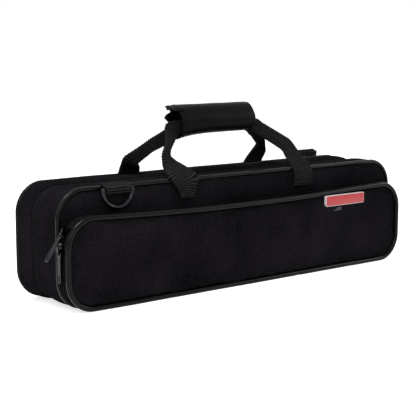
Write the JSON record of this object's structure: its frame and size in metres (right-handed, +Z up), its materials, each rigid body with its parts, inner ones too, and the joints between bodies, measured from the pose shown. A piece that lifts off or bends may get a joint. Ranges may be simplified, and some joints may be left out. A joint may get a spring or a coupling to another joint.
{
  "type": "flute case",
  "caption": "Soft-shell zip case for a flute, with a hinged lid, a front pocket, moulded beds, webbing handles in a hook-and-loop grip and rings for a shoulder strap.",
  "frame": {"origin": "the middle of the ground under the case, standing on its long narrow side", "axes": "+X along the case, to the right as seen from the pocket side; +Y from the pocket to the back; +Z up, towards the handle"},
  "size_m": [0.4606, 0.0974, 0.177],
  "materials": {
    "piping": "glossy vinyl-covered cord",
    "cloth": "padded nylon, fine plain weave",
    "tape": "woven polyester tape",
    "coil": "nylon coil",
    "foam": "stiff foam, covered",
    "plush": "short pile",
    "webbing": "ribbed webbing",
    "grip": "smooth padded nylon",
    "hook_loop": "hook and loop",
    "metal": "dark nickel plate",
    "badge": "moulded red",
    "label": "woven grey"
  },
  "bodies": {
    "back_half": {"back_piping": "piping", "back_band": "cloth", "back_panel": "cloth", "back_foam": "foam", "back_zip_tape": "tape", "back_coil": "coil", "hinge_cloth": "cloth", "insert": "plush", "finger_pull": "webbing", "back_strap_ends": "webbing", "back_tab": "webbing"},
    "lid": {"front_piping": "piping", "front_band": "cloth", "front_panel": "cloth", "front_foam": "foam", "front_zip_tape": "tape", "front_coil": "coil", "lid_pad": "plush", "lid_cloth": "plush", "pocket_fixed_tape": "tape", "pocket_hinge_cloth": "cloth", "front_strap_ends": "webbing", "front_tab": "webbing"},
    "pocket": {"pocket_piping": "piping", "pocket_band": "cloth", "pocket_tape": "tape", "pocket_panel": "cloth", "badge": "badge", "badge_tab": "label"},
    "front_handle": {"front_strap": "webbing"},
    "back_handle": {"back_strap": "webbing", "grip_pad": "grip", "loop_tape": "hook_loop"},
    "grip_wrap": {"grip_flap": "grip", "hook_tape": "hook_loop"},
    "front_dring": {"front_ring": "metal"},
    "back_dring": {"back_ring": "metal"},
    "main_slider_high": {"main_slider_high": "metal"},
    "main_pull_high": {"main_pull_high": "metal"},
    "main_slider_low": {"main_slider_low": "metal"},
    "main_pull_low": {"main_pull_low": "metal"},
    "pocket_slider_high": {"pocket_slider_high": "metal"},
    "pocket_pull_high": {"pocket_pull_high": "metal"},
    "pocket_slider_low": {"pocket_slider_low": "metal"},
    "pocket_pull_low": {"pocket_pull_low": "metal"}
  },
  "joints": [
    {"name": "lid_hinge", "type": "hinge", "parent": "back_half", "child": "lid", "pos_m": [0, 0.0111, 0.0016], "axis": [1, 0, 0], "range_deg": [0, 160], "deforming": ["hinge_cloth"]},
    {"name": "pocket_hinge", "type": "hinge", "parent": "lid", "child": "pocket", "pos_m": [0, -0.03335, 0.0016], "axis": [1, 0, 0], "range_deg": [0, 85], "deforming": ["pocket_hinge_cloth"]},
    {"name": "front_strap_fold", "type": "hinge", "parent": "lid", "child": "front_handle", "pos_m": [0, -0.0308, 0.0943], "axis": [1, 0, 0], "range_deg": [0, 104]},
    {"name": "back_strap_fold", "type": "hinge", "parent": "back_half", "child": "back_handle", "pos_m": [0, 0.045, 0.0943], "axis": [-1, 0, 0], "range_deg": [0, 104]},
    {"name": "grip_wrap_open", "type": "hinge", "parent": "back_handle", "child": "grip_wrap", "pos_m": [0, 0.00478, 0.14096], "axis": [1, 0, 0], "range_deg": [0, 100]},
    {"name": "front_ring_swing", "type": "hinge", "parent": "lid", "child": "front_dring", "pos_m": [-0.153, -0.0326, 0.1048], "axis": [-1, 0, 0], "range_deg": [0, 170]},
    {"name": "back_ring_swing", "type": "hinge", "parent": "back_half", "child": "back_dring", "pos_m": [0.158, 0.0454, 0.113], "axis": [1, 0, 0], "range_deg": [0, 170]},
    {"name": "main_slider_high_run", "type": "hinge", "parent": "back_half", "child": "main_slider_high", "pos_m": [0.1864, 0.0111, 0.0804], "axis": [0, -1, 0], "range_deg": [0, 55]},
    {"name": "main_pull_high_swing", "type": "hinge", "parent": "main_slider_high", "child": "main_pull_high", "pos_m": [0.21156, 0.0111, 0.09552], "axis": [0, -1, 0], "range_deg": [-3, 140]},
    {"name": "main_slider_low_run", "type": "slide", "parent": "back_half", "child": "main_slider_low", "axis": [0, 0, 1], "range_m": [-0.045, 0]},
    {"name": "main_pull_low_swing", "type": "hinge", "parent": "main_slider_low", "child": "main_pull_low", "pos_m": [0.21575, 0.0111, 0.0804], "axis": [0, -1, 0], "range_deg": [0, 45]},
    {"name": "pocket_slider_high_run", "type": "hinge", "parent": "lid", "child": "pocket_slider_high", "pos_m": [-0.1864, -0.03335, 0.0574], "axis": [0, 1, 0], "range_deg": [0, 55]},
    {"name": "pocket_pull_high_swing", "type": "hinge", "parent": "pocket_slider_high", "child": "pocket_pull_high", "pos_m": [-0.21156, -0.03335, 0.07252], "axis": [0, 1, 0], "range_deg": [-3, 120]},
    {"name": "pocket_slider_low_run", "type": "slide", "parent": "lid", "child": "pocket_slider_low", "axis": [0, 0, 1], "range_m": [-0.022, 0]},
    {"name": "pocket_pull_low_swing", "type": "hinge", "parent": "pocket_slider_low", "child": "pocket_pull_low", "pos_m": [-0.21575, -0.03335, 0.0574], "axis": [0, 1, 0], "range_deg": [0, 45]}
  ]
}
